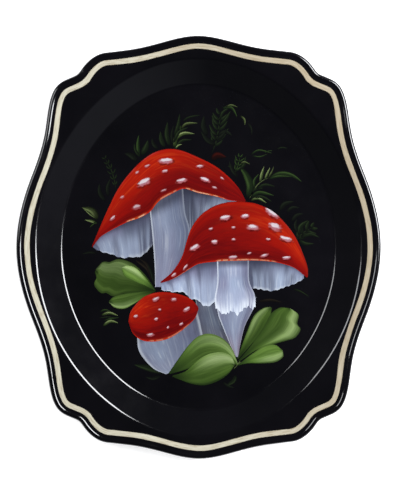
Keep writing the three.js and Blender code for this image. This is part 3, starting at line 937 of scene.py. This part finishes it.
FOLIAGE = {
    "foliage_top_left": [
        blade([(-50.7, 78), (-51.8, 87.6), (-51, 96.6)], 3.6, GREEN),
        blade([(-49.9, 77.7), (-53.9, 83.6), (-54.9, 89.4)], 2.4, DARK),
        blade([(-49.1, 79.6), (-45.4, 84.8), (-43, 92)], 5.5, DARK),
        blade([(-52.3, 74.8), (-58.5, 79.6), (-63, 81)], 5.5, FAINT),
        blade([(-28.8, 86), (-31.7, 93.2), (-32.3, 99.6)], 4.4, DARK),
        blade([(-24.6, 87), (-27, 97), (-26.2, 107.6)], 4.4, DARK),
        blade([(-34.4, 84.6), (-38.4, 89), (-39.6, 94)], 3.6, FAINT),
        blade([(-21.9, 88), (-22.7, 97), (-21, 104.5)], 2.4, FAINT),
    ],
    "foliage_top": [
        twig([(-20.3, 85), (-18, 92.4), (-15.4, 100.4), (-16.2, 110)], GREEN),
        blade([(-21.1, 86), (-19, 93.6), (-12.3, 97.9), (-3.2, 97.5)], 3.8, BRIGHT),
        blade([(-15, 101.5), (-10.4, 105.9), (-0.3, 106.8)], 2.8, OLIVE),
        blade([(-13.4, 108.4), (-8, 111.6), (1.6, 113.6)], 1.8, DARK),
        blade([(-20.6, 95), (-17, 105), (-15.6, 114.6)], 3.6, DARK),
        blade([(-21, 90), (-16.4, 99), (-8.6, 103)], 3.0, DARK),
        blade([(-19.6, 86), (-13.6, 91.6), (-5.6, 92.4)], 2.8, DARK),
        blade([(-19.6, 84.6), (-17.2, 87.4), (-13.8, 88.6)], 1.7, BRIGHT),
    ],
    "foliage_fern": [
        twig([(10.9, 79.6), (15.4, 89.2), (18.1, 102), (19.7, 116)], FAINT),
        *sprig([(12.5, 83), (15.6, 92), (17.6, 102), (19, 114)], 7, 12, 2.8, 44, DARK),
        blade([(8, 96), (4.6, 104), (5.2, 113)], 5.0, FAINT),
        blade([(14.6, 88), (7.6, 92.6), (2.6, 99.6)], 4.4, FAINT),
        blade([(16.8, 96), (24, 99), (29, 96)], 4.0, FAINT),
        blade([(18, 104), (24, 110), (28, 117)], 3.0, DARK),
        blade([(19, 110), (21.6, 116), (27.6, 120)], 2.4, DARK),
        blade([(15, 92), (20.6, 95.6), (24.6, 101)], 3.0, FAINT),
        blade([(20.5, 119.5), (28.6, 119.8), (33.6, 112)], 2.8, GREEN),
        blade([(24, 120.6), (28.6, 122), (34.2, 120.2)], 1.8, OLIVE),
        blade([(36.6, 113), (39.8, 109.4), (40.2, 104.8)], 2.2, OLIVE),
        blade([(42.4, 107.4), (45.6, 102), (46.2, 96.6)], 2.0, FAINT),
        blade([(11.7, 74.6), (15.9, 78.6), (24, 77.4)], 6.5, WINE),
    ],
    "foliage_right_blade": [
        blade([(42.3, 42), (44.6, 52.4), (41, 62), (35.6, 69)], 7, GREEN),
        blade([(29.3, 66), (28, 68.6), (25.8, 70)], 2.4, DARK),
        blade([(34, 60), (29.6, 66), (26.6, 74)], 3.4, FAINT),
        blade([(35, 66), (39.6, 71), (41, 78)], 3.0, DARK),
        *sprig([(32, 64), (34, 70), (35.8, 77)], 4, 7, 1.7, 38, GREEN),
        blade([(36, 71.6), (39.7, 73), (44.4, 71.2)], 1.8, OLIVE),
    ],
    "foliage_right_sprig": [
        twig([(43.7, 41), (47.7, 49.2), (53.3, 55.6), (60.5, 59.6)], OLIVE),
        blade([(60, 58.2), (70.1, 62.8), (79.7, 61.7), (88.9, 56)], 4.4, GREEN),
        blade([(60, 58.4), (69, 60.6), (80, 60.2)], 2.2, GREEN),
        blade([(53.1, 55.6), (54.7, 62.8), (56.7, 69)], 2.8, BRIGHT),
        blade([(57.1, 57.8), (59.7, 63.6), (61.8, 68.2)], 2.1, BRIGHT),
        blade([(60.2, 59.4), (62.9, 63.8), (65.2, 69)], 1.7, OLIVE),
        blade([(48.3, 50.4), (48.3, 57.2), (52, 62.6)], 2.6, GREEN),
        blade([(45.1, 41.6), (51, 46.6), (65, 44.2)], 3.4, GREEN),
        blade([(44.9, 40.2), (51, 41.8), (58.4, 37.9)], 2.6, BRIGHT),
        blade([(46, 47), (50, 50), (56, 50.4)], 2.2, DARK),
        blade([(50, 50), (57, 53.4), (66, 52)], 2.6, DARK),
        blade([(46, 43), (55, 43), (63, 39)], 2.6, DARK),
    ],
    "foliage_outlines": [
        blade([(45, 79.2), (51.7, 83), (63.4, 80.6)], 1.9, GREEN),
        blade([(46.1, 78.4), (53.3, 77.6), (59.4, 79.8)], 1.4, GREEN),
        blade([(67.5, 84), (72, 85.4), (76.9, 84.6)], 1.2, DARK),
        blade([(57, 80.6), (60, 82.2), (64, 82.8)], 0.9, GREEN),
    ],
    "foliage_far_right": [
        blade([(69.7, 31), (74.1, 36.6), (81.8, 39)], 4.4, FAINT),
        *sprig([(84, 6), (90, 12), (97, 16)], 4, 10, 3.4, 42, DARK),
        blade([(86, 10.4), (88, 17.6), (94.5, 22.6)], 4.2, DARK),
        blade([(88, 8.2), (96.5, 10.6), (103.6, 8)], 3.2, DARK),
        blade([(84.9, 12.6), (83.3, 18.8), (84.5, 23.6)], 3.2, FAINT),
        blade([(80, 22), (84.6, 27), (90, 28.4)], 3.4, FAINT),
        blade([(86, 6), (92, 2.6), (99, 2.6)], 3.4, DARK),
        blade([(76, 30), (80.6, 33.6), (86.6, 33.6)], 3.0, FAINT),
    ],
    "foliage_far_left": [
        blade([(-86.9, 24.2), (-91, 31.4), (-99.8, 34.6)], 6.2, OLIVE),
        blade([(-87.7, 25), (-92.6, 28.2), (-99, 34)], 1.2, BRIGHT),
        blade([(-87.1, 20.8), (-92.3, 23), (-97.7, 24)], 2.6, BRIGHT),
        blade([(-87, 22.4), (-90, 21), (-93.5, 17.6)], 1.4, GREEN),
        blade([(-80, 40), (-84.6, 47), (-85, 55)], 4.0, FAINT),
        blade([(-77.6, 44), (-78, 52), (-75.6, 59)], 3.6, FAINT),
    ],
    "foliage_thin_sprig": sprig(
        [(-70.9, 50), (-72.3, 58.8), (-74.9, 67), (-80, 76.6)], 6, 5.4, 1.5, 40, DARK),
    "foliage_low_left": [
        twig([(-86, -60.5), (-78, -59.6), (-70, -61)], DARK),
        blade([(-85.3, -55), (-80.3, -53.6), (-75.9, -55)], 1.9, GREEN),
        blade([(-84, -58), (-77.1, -56.2), (-69.5, -58.6)], 2.7, BRIGHT),
        blade([(-82.1, -62.7), (-75.5, -61.2), (-68.5, -60.2)], 1.7, GREEN),
        blade([(-82.6, -67.2), (-76.3, -63.4), (-69.4, -64.8)], 2.9, BRIGHT),
    ],
    "foliage_behind_left_leaf": [
        blade([(-38.6, -31), (-43, -19), (-54, -11)], 5, BROWN),
        blade([(-39, -28), (-45, -14), (-51, -9.6)], 3.4, BROWN),
        blade([(-37.9, -33), (-40.6, -22), (-44, -14)], 3, FAINT),
        blade([(-87.5, -5), (-93.1, -3.8), (-100, -5.2)], 2.2, FAINT),
    ],
    "foliage_bottom": [
        blade([(-29, -107.6), (-41.9, -104), (-55.5, -100.8)], 6.5, DARK),
        blade([(-33, -110.6), (-40, -112.6), (-46, -111.4)], 3.4, FAINT),
        blade([(31.6, -110), (29.4, -115), (23, -119.4)], 4, DARK),
        blade([(20, -116), (25, -119.6), (30, -121)], 2.4, FAINT),
        blade([(81, -36), (87.7, -38.6), (94.7, -43)], 1.8, DARK),
        blade([(50.4, -47), (62, -45.8), (71.6, -47.8)], 2.8, BROWN),
        twig([(29.6, -105), (33, -101), (36.4, -96)], OLIVE),
        twig([(31, -103), (35.4, -99.4), (41, -98)], OLIVE),
    ],
}


# ---- The tray -----------------------------------------------------------------------------------------

FLOOR_RINGS = (0.25, 0.5, 0.75, 0.9)


def floor_rings(z):
    """Rings across the flat floor, each the same share of the way from the centre to the floor's edge."""
    return np.stack([on_oval(0, 0) * (share, share, 1) + (0, 0, z) for share in FLOOR_RINGS])


def tray_skin():
    """The whole sheet as one closed skin: out along its lower face to the end of the roll, and back along
    its upper face to the middle of the floor. Faces of the lower face take the second finish, the plain
    lacquer of the back."""
    lower = np.concatenate([floor_rings(0), section(SHEET)])
    upper = np.concatenate([section(0)[::-1], floor_rings(SHEET)[::-1]])
    poles = np.array([(0, 0, 0), (0, 0, SHEET)], float)
    piece = skin("lacquered_tray", np.concatenate([lower, upper]), poles)
    piece.data.polygons.foreach_set("material_index", on_back(piece, len(lower) * len(EDGE)))
    return piece


def on_back(piece, first_upper):
    """1 for each face whose corners are all on the lower face or its pole, and 0 for the others."""
    pole = len(piece.data.vertices) - 2
    corners = np.empty(len(piece.data.loops), int)
    piece.data.loops.foreach_get("vertex_index", corners)
    starts = np.empty(len(piece.data.polygons), int)
    piece.data.polygons.foreach_get("loop_start", starts)
    upper = (corners >= first_upper) & (corners != pole)
    return (~np.logical_or.reduceat(upper, starts)).astype(int)


def wavering(turns, size, seed):
    """A slow unsteadiness of this size round the rim: a few whole waves with random starts."""
    starts = np.random.default_rng(seed).random(6) * 2 * np.pi
    turn = np.linspace(0, 2 * np.pi, len(EDGE), endpoint=False)
    return size * sum(np.sin(turns * (k + 1) * turn + start) for k, start in enumerate(starts)) / 6


def border_line():
    """The cream line round the flange: a low band of paint between two edges that keep to the rim's outline
    with the slight unsteadiness of a hand, its section a flat arch, streaked along its length by the hairs
    of the brush. Its colour also holds painted light and shade: darker beige towards the upper right and
    paler streaks towards the lower left, for how the lights fall on the rising flange."""
    tilt = flange_tilt()
    start = on_oval(CROWN_OUT - FLANGE_BEND * np.sin(tilt), CROWN_Z + FLANGE_BEND * np.cos(tilt))
    foot_in = COVE_IN - COVE * np.sin(tilt)
    foot = on_edge(foot_in, COVE_Z - COVE * np.cos(tilt))
    inward = np.einsum("ij,ij->i", foot[:, :2] - start[:, :2], OUTWARD)
    outer = LINE_OUTER + wavering(7, 0.25, 61)
    inner = LINE_INNER + wavering(5, 0.3, 62)

    def band(share, height):
        place = foot + (start - foot) * ((outer + (inner - outer) * share - foot_in) / inward)[:, None]
        return place + (0, 0, height)

    across = np.linspace(0, 1, LINE_STRIPS)
    top = [band(share, LINE_COAT * math.sin(math.pi * share) ** 0.4) for share in across]
    bottom = [band(share, -BED) for share in across[::-7]]
    piece = skin("cream_border_line", np.stack(top + bottom))
    share = np.concatenate([across, across[::-7]])[:, None]
    along = travelled(EDGE)[None, :]
    pace = GRAIN_CELLS / len(EDGE) * np.arange(len(EDGE))
    streak = grain(pace, share * 9, 65) * 0.5 + grain(pace, share * 17, 66) * 0.5
    paint = ground(paint_tone(242, 236, 210), streak.shape)
    # painted light and shade: the line darkens towards the upper right and stays paler towards the lower
    # left, standing in for how the lights fall on the rising flange
    aslant = EDGE[:, 0] / EDGE[:, 0].max() + 0.35 * EDGE[:, 1] / EDGE[:, 1].max() + wavering(3, 0.3, 67)
    painted_shade_to_upper_right = ramp(aslant, -0.6, 1.0) * np.ones_like(streak)
    paint = laid_over(paint, paint_tone(206, 188, 158), 0.85 * painted_shade_to_upper_right)
    paint = laid_over(paint, paint_tone(186, 168, 134), 0.6 * ramp(streak, 0.5, 0.8))
    # paler streaks: partly real streaks of the brush, partly painted light, fewer towards the upper right
    pale_streaks_and_painted_light = ramp(1 - streak, 0.5, 0.85) * (1 - 0.7 * painted_shade_to_upper_right)
    paint = laid_over(paint, paint_tone(255, 252, 232), 0.6 * pale_streaks_and_painted_light)
    paint = laid_over(paint, paint_tone(120, 106, 78), 0.6 * ramp(np.abs(share - 0.5), 0.4, 0.5))
    strokes = np.stack(np.broadcast_arrays(along, share * (LINE_INNER - LINE_OUTER)), -1)
    add_paint(piece, paint.reshape(-1, 3), strokes.reshape(-1, 2))
    return piece


# ---- The wires and clips ------------------------------------------------------------------------------

def tube(name, path, radius, sides=20):
    """A round wire along a flat path, its ends rounded over: rings square to the path, shrinking at both
    ends."""
    along = unit(np.gradient(path, axis=0))
    aside = np.cross(along, (0, 0, 1))
    turn = np.linspace(0, 2 * np.pi, sides, endpoint=False)
    gone = travelled(path)
    left = np.minimum(gone, gone[-1] - gone)
    girth = np.sqrt(np.clip(1 - (1 - np.clip(left / radius, 0.02, 1)) ** 2, 0, 1)) * radius
    around = aside[:, None] * np.cos(turn)[:, None] + np.array([0, 0, 1.0]) * np.sin(turn)[:, None]
    return skin(name, path[:, None] + girth[:, None, None] * around, path[[0, -1]])


def rim_wire():
    """The stiffening wire, once round inside the roll, from one side of the bottom's middle to the
    other."""
    ring = on_edge(ROLL, ROLL_Z)
    half = len(ring) // 2
    ring = np.concatenate([ring[half:], ring[: half + 1]])
    ring[0, 0], ring[-1, 0] = -FIT_GAP, FIT_GAP
    return tube("steel_rim_wire", ring, WIRE_RADIUS)


def arc(centre, radius, start, end, count):
    """Points on a flat arc between two angles in degrees."""
    turn = np.radians(np.linspace(start, end, count))
    return np.column_stack([centre[0] + radius * np.cos(turn), centre[1] + radius * np.sin(turn)])


def hanger_seat():
    """The flange's tilt where the loop's feet lie, and the height of the wire's centre line there."""
    tilt = flange_tilt()[0]
    under = FLANGE_BEND - SHEET
    start_y = FLOOR_HALF[1] + CROWN_OUT - under * math.sin(tilt)
    start_z = CROWN_Z + under * math.cos(tilt)
    drop = (FIT_GAP + LOOP_WIRE) / math.cos(tilt)
    return tilt, start_z + (LOOP_Y - start_y) * math.tan(tilt) - drop


def lean(points, angle, x=0.0):
    """Points turned about the X axis and set down at the loop's feet."""
    cos, sin = math.cos(angle), math.sin(angle)
    y, z = points[..., 1], points[..., 2]
    turned = (points[..., 0] + x, y * cos - z * sin + LOOP_Y, y * sin + z * cos + hanger_seat()[1])
    return np.stack(turned, -1)


def hanging_loop():
    """The loop: a foot, a leg, the round bight, and the same again, drawn flat and leaned away from the
    flange."""
    half = LOOP_INNER + LOOP_WIRE
    bend = LOOP_FOOT_BEND
    foot = np.linspace((-half - bend - LOOP_FOOT, 0), (-half - bend, 0), 30)[:-1]
    left = np.concatenate([foot, arc((-half - bend, bend), bend, -90, 0, 9)])
    bight = arc((0, bend + LOOP_NECK), half, 180, 0, 33)
    path = np.concatenate([left, bight, left[::-1] * (-1, 1)])
    path = np.column_stack([path, np.zeros(len(path))])
    piece = tube("wire_hanging_loop", path, LOOP_WIRE)
    return moved(piece, lambda points: lean(points, -LOOP_LEAN))


def moved(piece, move):
    """Moves a mesh's points, given to `move` in millimetres."""
    points = np.empty(len(piece.data.vertices) * 3)
    piece.data.vertices.foreach_get("co", points)
    piece.data.vertices.foreach_set("co", (move(points.reshape(-1, 3) / MM) * MM).ravel())
    piece.data.update()
    return piece


def saddle_clip(name, side):
    """A saddle clip: a strip with two wings under the flange and a hump round the wire's foot. The strip's
    section, its middle line thickened to both sides, is carried across the clip's width and eased at both
    ends."""
    middle = LOOP_WIRE + FIT_GAP + CLIP_THICKNESS / 2
    wing = LOOP_WIRE - CLIP_THICKNESS / 2
    reach = middle + CLIP_THICKNESS / 2 + CLIP_WING
    corner = 0.35  # how far a wing stops short of the hump's side, for a rounded inside corner
    line = np.concatenate([
        np.linspace((-reach, wing), (-middle - corner, wing), 8),
        arc((0, 0), middle, 180, 360, 25),
        np.linspace((middle + corner, wing), (reach, wing), 8),
    ])
    normal = unit(np.gradient(line, axis=0)) @ np.array([[0, 1], [-1, 0]])
    rings = []
    for x, shrink in ((-1.0, CLIP_EASE), (-1.0, 0), (1.0, 0), (1.0, CLIP_EASE)):
        half = CLIP_THICKNESS / 2 - shrink
        edge = np.concatenate([line + normal * half, line[::-1] - normal[::-1] * half])
        across = x * (CLIP_WIDTH / 2 - (CLIP_EASE - shrink))
        rings.append(np.column_stack([np.full(len(edge), across), edge]))
    tilt = hanger_seat()[0]
    foot_middle = LOOP_INNER + LOOP_WIRE + LOOP_FOOT_BEND + LOOP_FOOT / 2
    piece = skin(name, np.stack(rings), "flat")
    return moved(piece, lambda points: lean(points, tilt, side * foot_middle))


# ---- Making the pieces --------------------------------------------------------------------------------

FRONT_LACQUER = polished_lacquer()
BACK_LACQUER = plain_lacquer()
STEEL = drawn_wire()
BORDER_PAINT = brush_paint("cream border paint", (0.03, 2.2, 1), 0.1, 0.00002)
CAP_PAINT = brush_paint("red cap paint", (0.12, 1.5, 1), 0.09, 0.000012)
GILL_PAINT = brush_paint("white and blue gill paint", (0.12, 1.6, 1), 0.1, 0.000015)
LEAF_PAINT = brush_paint("green leaf paint", (0.15, 1.4, 1), 0.12, 0.000012)

tray = finished(tray_skin(), FRONT_LACQUER)
tray.data.materials.append(BACK_LACQUER)
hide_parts("tray_body")

finished(border_line(), BORDER_PAINT)

wire = finished(rim_wire(), STEEL)
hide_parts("rim_wire")
loop = finished(hanging_loop(), BACK_LACQUER)
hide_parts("hanging_loop")
for side, hand in ((-1, "left"), (1, "right")):
    clip = finished(saddle_clip(f"saddle_clip_{hand}", side), BACK_LACQUER)
    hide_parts(f"loop_clip_{hand}")

for name, (coat, (place, paint, stroke)) in MUSHROOMS.items():
    red = name.endswith("cap")
    finish, slot = (CAP_PAINT, "red_cap_paint") if red else (GILL_PAINT, "white_gill_paint")
    painted(name, [film(place, paint, coat, stroke)], finish)
for name, (coat, (place, paint, stroke)) in LEAVES.items():
    painted(name, [film(place, paint, coat, stroke)], LEAF_PAINT)
for name, blades in FOLIAGE.items():
    films = [
        film(place, paint, 1 + 2 * k / len(blades), stroke)
        for k, (place, paint, stroke) in enumerate(blades)
    ]
    painted(name, films, LEAF_PAINT)


# ---- Floor, lights and camera -------------------------------------------------------------------------

CAMERA_HEIGHT = 1.52
PICTURE_HEIGHT = 0.4248  # what the camera takes in at the rim's height
RIM_HEIGHT = 0.019
SENSOR = 36.0
AIM = (0.0012, -0.0024)  # the camera stands a little off the tray's centre
ROLL_OF_CAMERA = math.radians(-0.27)  # and is turned a little
TABLE_HALF = 4000.0  # half side of the table, in millimetres
TABLE_DROP = 0.05  # how far below the tray its top lies, in millimetres
TABLE_GLOW = 0.8
LIGHT_DISTANCE = 1.5
LIGHT_LEAN = math.radians(42)  # how far each light leans from straight above the tray


def table():
    """A wide square of white acrylic just under the tray, softly lit from below, with a faint haze in its
    tone."""
    square = np.array([(-1, -1), (1, -1), (1, 1), (-1, 1)]) * TABLE_HALF
    corners = np.column_stack([square, np.full(len(square), -TABLE_DROP)])
    piece = mesh_object("white_table", corners, [[0, 1, 2, 3]])
    finish = Finish("white acrylic", Roughness=0.9, Specular_IOR_Level=0.1, Emission_Strength=TABLE_GLOW)
    tone = finish.noise(finish.place(), 3, detail=2)
    finish.drive("Base Color", finish.mix(tone, (0.93, 0.93, 0.93, 1), (0.96, 0.96, 0.96, 1)))
    finish.shader.inputs["Emission Color"].default_value = (1, 1, 1, 1)
    piece.data.materials.append(finish.material)


def softbox(name, azimuth, width, height, radiance):
    """A soft light aimed at the tray from this azimuth in degrees, counted from +X towards +Y. Its width
    lies level and its height along the slope; its power follows from its radiance and area."""
    turn, level = math.radians(azimuth), math.sin(LIGHT_LEAN)
    way = Vector((level * math.cos(turn), level * math.sin(turn), math.cos(LIGHT_LEAN)))
    light = bpy.data.lights.new(name, "AREA")
    light.shape = "RECTANGLE"
    light.size, light.size_y = width, height
    light.energy = radiance * math.pi * width * height
    light.color = (0.96, 0.97, 1.0)
    lamp = bpy.data.objects.new(name, light)
    lamp.location = way * LIGHT_DISTANCE
    lamp.rotation_euler = way.to_track_quat("Z", "Y").to_euler()
    bpy.context.scene.collection.objects.link(lamp)


def room(zenith, horizon, passage, towards):
    """A dim studio room: dark overhead, greyer towards the walls, and lighter low down on one side, where
    it stands open to a lit passage; towards is that side's azimuth in degrees."""
    world = bpy.data.worlds.new("studio room")
    world.use_nodes = True
    nodes, links = world.node_tree.nodes, world.node_tree.links
    way = nodes.new("ShaderNodeTexCoord").outputs["Generated"]

    def spread(axis, start, end, first, last):
        """The radiance that goes from first to last while the share of the way along the axis goes from
        start to end."""
        share = nodes.new("ShaderNodeVectorMath")
        share.operation = "DOT_PRODUCT"
        links.new(way, share.inputs[0])
        share.inputs[1].default_value = axis
        new = nodes.new("ShaderNodeMapRange")
        links.new(share.outputs["Value"], new.inputs["Value"])
        for socket, value in zip(("From Min", "From Max", "To Min", "To Max"), (start, end, first, last)):
            new.inputs[socket].default_value = value
        return new.outputs["Result"]

    total = nodes.new("ShaderNodeMath")
    total.operation = "ADD"
    turn = math.radians(towards)
    links.new(spread((0, 0, 1), 0.0, 0.6, horizon, zenith), total.inputs[0])
    links.new(spread((math.cos(turn), math.sin(turn), 0), 0.6, 0.97, 0.0, passage), total.inputs[1])
    links.new(total.outputs["Value"], nodes["Background"].inputs["Strength"])
    nodes["Background"].inputs["Color"].default_value = (0.85, 0.88, 1.0, 1)
    bpy.context.scene.world = world


def camera():
    """A camera above the tray, looking straight down."""
    view = bpy.data.cameras.new("camera")
    view.sensor_fit = "VERTICAL"
    view.sensor_height = SENSOR
    view.lens = SENSOR * (CAMERA_HEIGHT - RIM_HEIGHT) / PICTURE_HEIGHT
    stand = bpy.data.objects.new("camera", view)
    stand.location = (*AIM, CAMERA_HEIGHT)
    stand.rotation_euler = (0, 0, ROLL_OF_CAMERA)
    bpy.context.scene.collection.objects.link(stand)
    bpy.context.scene.camera = stand


table()
softbox("softbox_right", azimuth=27.5, width=1.06, height=0.56, radiance=22.5)
softbox("softbox_left", azimuth=157, width=0.62, height=0.5, radiance=7.5)
room(zenith=0.03, horizon=0.105, passage=0.14, towards=-46)
camera()
bpy.context.scene.view_settings.view_transform = "Standard"
